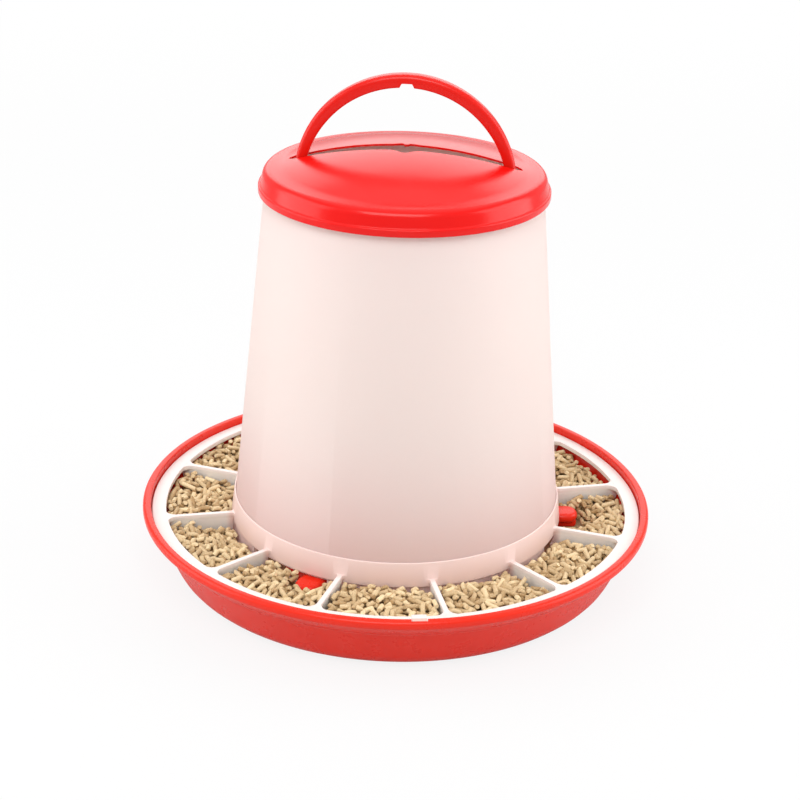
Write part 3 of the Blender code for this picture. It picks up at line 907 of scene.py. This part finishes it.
def clearOfParts(x, y, z, radius):
    # inside the trough, off the vanes and off the lugs
    r = math.hypot(x, y)
    gap = feedShape["clearance"] + radius
    azimuth = math.atan2(x, -y)
    if z - radius < gridShape["collarBottom"]:
        inner = hopperRadius(max(z, 0.022)) + gap
    else:
        inner = hopperRadius(z) + gridShape["gap"] + gridShape["collarWall"] + gap
    wallThick = panShape["wall"] / math.sin(panShape["slope"])
    outer = panWallRadius(z) - wallThick - gap
    if z + radius > gridShape["top"] - gridShape["thickness"] - 0.0003:
        outer = min(outer, gridShape["ringInner"] - gap)
    if not inner < r < outer:
        return False
    step = 2 * math.pi / gridShape["vanes"]
    off = (azimuth - gridShape["firstVane"]) % step
    off = min(off, step - off)
    if z + radius > gridShape["vaneBottom"]:
        room = gridShape["vaneThickness"] / 2 + gap
        if z + radius > gridShape["top"] - gridShape["thickness"]:
            room += max(0.0, gridShape["flare"] - (gridShape["ringInner"] - r)) * 0.8
        if r * math.sin(off) < room:
            return False
    for lug in around(lugShape["first"], lugShape["count"]):
        way = spot(1, lug).to_2d()
        ahead = Vector((x, y)).dot(way)
        aside = abs(Vector((x, y)).dot(spot(1, lug + math.pi / 2).to_2d()))
        near = ahead < lugShape["outer"] + gap and aside < lugShape["width"] / 2 + gap and ahead > 0
        if near and z - radius < lugShape["top"] + 0.0004:
            return False
    return True


def makePellets():
    shape = feedShape
    kinds = pelletShapes()
    heap = Heap()
    sectors = gridShape["vanes"]
    step = 2 * math.pi / sectors
    placed = [[] for _ in range(sectors)]
    misses = 0
    total = 0
    while misses < 700 and total < 9000:
        length = rng.uniform(shape["shortest"], shape["longest"])
        radius = shape["pelletRadius"] * rng.uniform(0.92, 1.06)
        best = None
        for _ in range(shape["tries"]):
            r = math.sqrt(rng.uniform(shape["inner"] ** 2, shape["outer"] ** 2))
            where = rng.uniform(0, 2 * math.pi)
            x, y = spot(r, where).to_2d()
            azimuth = rng.uniform(0, math.pi)
            slope, z = heap.rest(x, y, azimuth, length, radius)
            over = z + radius - feedLevel(x, y)
            if over > 0.0008:
                continue
            dx, dy = math.sin(azimuth), -math.cos(azimuth)
            along = (-length / 2, -length / 4, 0, length / 4, length / 2)
            spots = [(x + dx * t, y + dy * t, z + slope * t) for t in along]
            if best and over >= best[0]:
                continue
            if all(clearOfParts(px, py, pz, radius) for px, py, pz in spots):
                best = (over, x, y, z, azimuth, slope)
        if best is None:
            misses += 1
            continue
        misses = 0
        total += 1
        over, x, y, z, azimuth, slope = best
        heap.raiseUnder(x, y, z, azimuth, slope, length, radius)
        number = int(((math.atan2(x, -y) - gridShape["firstVane"]) % (2 * math.pi)) / step) % sectors
        placed[number].append((x, y, z, azimuth, slope, length, radius, over))
    for number, pellets in enumerate(placed, 1):
        bm = bmesh.new()
        tint = bm.verts.layers.float.new("tint")
        for x, y, z, azimuth, slope, length, radius, over in pellets:
            before = len(bm.verts)
            bm.from_mesh(rng.choice(kinds))
            bm.verts.ensure_lookup_table()
            verts = bm.verts[before:]
            # painted shade: the pellets lower in the heap are painted darker, as the shade under the pellets
            # above them
            light = max(0.0, 1.0 + min(0.0, over) / shape["shade"])
            shade = rng.random() ** 0.8 * light - 0.25 * (over < -0.002)
            for vert in verts:
                vert[tint] = shade
            axis = Vector((math.sin(azimuth), -math.cos(azimuth), slope)).normalized()
            place = (
                Matrix.Translation((x, y, z)) @ axis.to_track_quat("Z", "Y").to_matrix().to_4x4()
                @ Matrix.Rotation(rng.uniform(0, math.pi), 4, "Z")
                @ Matrix.Diagonal((radius, radius, length, 1))
            )
            bmesh.ops.transform(bm, matrix=place, verts=verts)
        mesh = bpy.data.meshes.new("pellets_%02d" % number)
        bm.to_mesh(mesh)
        bm.free()
        heapPiece = bpy.data.objects.new("pellets_%02d" % number, mesh)
        bpy.context.scene.collection.objects.link(heapPiece)
        finishPiece(heapPiece, "pan_body", "feed", feedTan, 50)
    for kind in kinds:
        bpy.data.meshes.remove(kind)
    print("pellets", total)


makeBed()
makePellets()


# Floor, lights and camera

studio = {
    "floorSize": 12.0, "top": 3.6, "left": 14.5, "right": 17.0, "back": 11.0, "front": 23.0, "world": 0.54,
    "paperNear": 0.86, "paperFar": 1.0, "fadeFrom": 0.6, "fadeTo": 1.8,
}


def makeFloor():
    bm = bmesh.new()
    bmesh.ops.create_grid(bm, x_segments=1, y_segments=1, size=studio["floorSize"] / 2)
    floor = meshObject("floor", bm)
    floor.location.z = -0.0003
    finish = Finish("floorPaper")
    finish.set(Base_Color=(0.68, 0.68, 0.68), Roughness=0.9, Specular_IOR_Level=0.0)
    paper = finish.tree.nodes.new("ShaderNodeEmission")
    paper.inputs["Color"].default_value = (1, 1, 1, 1)
    paper.inputs["Strength"].default_value = 1.0
    blend = finish.tree.nodes.new("ShaderNodeMixShader")
    seen = finish.node("LightPath", out=0)
    # to the camera the floor turns wholly white away from the object's shadow
    share = finish.between(
        finish.reach(), studio["fadeFrom"], studio["fadeTo"], studio["paperNear"], studio["paperFar"]
    )
    finish.tree.links.new((seen * share).socket, blend.inputs[0])
    finish.tree.links.new(finish.shader.outputs[0], blend.inputs[1])
    finish.tree.links.new(paper.outputs[0], blend.inputs[2])
    finish.tree.links.new(blend.outputs[0], finish.output.inputs[0])
    floor.data.materials.append(finish.material)


def makeWorld():
    world = bpy.data.worlds.new("studioWorld")
    bpy.context.scene.world = world
    world.use_nodes = True
    tree = world.node_tree
    tree.nodes.clear()
    dim = tree.nodes.new("ShaderNodeBackground")
    dim.inputs["Color"].default_value = (1, 1, 1, 1)
    dim.inputs["Strength"].default_value = studio["world"]
    white = tree.nodes.new("ShaderNodeBackground")
    white.inputs["Color"].default_value = (1, 1, 1, 1)
    white.inputs["Strength"].default_value = 1.0
    path = tree.nodes.new("ShaderNodeLightPath")
    blend = tree.nodes.new("ShaderNodeMixShader")
    output = tree.nodes.new("ShaderNodeOutputWorld")
    tree.links.new(path.outputs["Is Camera Ray"], blend.inputs[0])
    tree.links.new(dim.outputs[0], blend.inputs[1])
    tree.links.new(white.outputs[0], blend.inputs[2])
    tree.links.new(blend.outputs[0], output.inputs[0])


def softbox(name, place, aim, width, height, power):
    lamp = bpy.data.lights.new(name, "AREA")
    lamp.shape = "RECTANGLE"
    lamp.size = width
    lamp.size_y = height
    lamp.energy = power
    obj = bpy.data.objects.new(name, lamp)
    bpy.context.scene.collection.objects.link(obj)
    obj.location = place
    obj.rotation_euler = (Vector(aim) - Vector(place)).to_track_quat("-Z", "Y").to_euler()


def makeCamera():
    view = {"place": (0.0, -1.1097, 0.6058), "down": 0.41618, "yaw": 0.00076, "roll": 0.02837, "lens": 82.5}
    camera = bpy.data.cameras.new("camera")
    camera.lens = view["lens"]
    camera.sensor_width = 36.0
    obj = bpy.data.objects.new("camera", camera)
    bpy.context.scene.collection.objects.link(obj)
    turn = (
        Matrix.Rotation(-view["yaw"], 4, "Z") @ Matrix.Rotation(math.pi / 2 - view["down"], 4, "X")
        @ Matrix.Rotation(view["roll"], 4, "Z")
    )
    obj.matrix_world = Matrix.Translation(view["place"]) @ turn
    bpy.context.scene.camera = obj


makeFloor()
makeWorld()
softbox("topBox", (0.0, 0.35, 1.5), (0, 0, 0.15), 1.6, 1.3, studio["top"])
softbox("leftBox", (-1.5, 0.0, 0.7), (0, 0, 0.15), 1.4, 1.4, studio["left"])
softbox("rightBox", (1.5, 0.0, 0.7), (0, 0, 0.15), 1.4, 1.4, studio["right"])
softbox("backBox", (0.0, 1.8, 1.0), (0, 0, 0.2), 2.0, 1.2, studio["back"])
softbox("frontBox", (-0.2, -1.25, 1.8), (0, 0, 0.1), 1.5, 0.9, studio["front"])
makeCamera()
bpy.context.scene.view_settings.view_transform = "Standard"
print("studio ready")
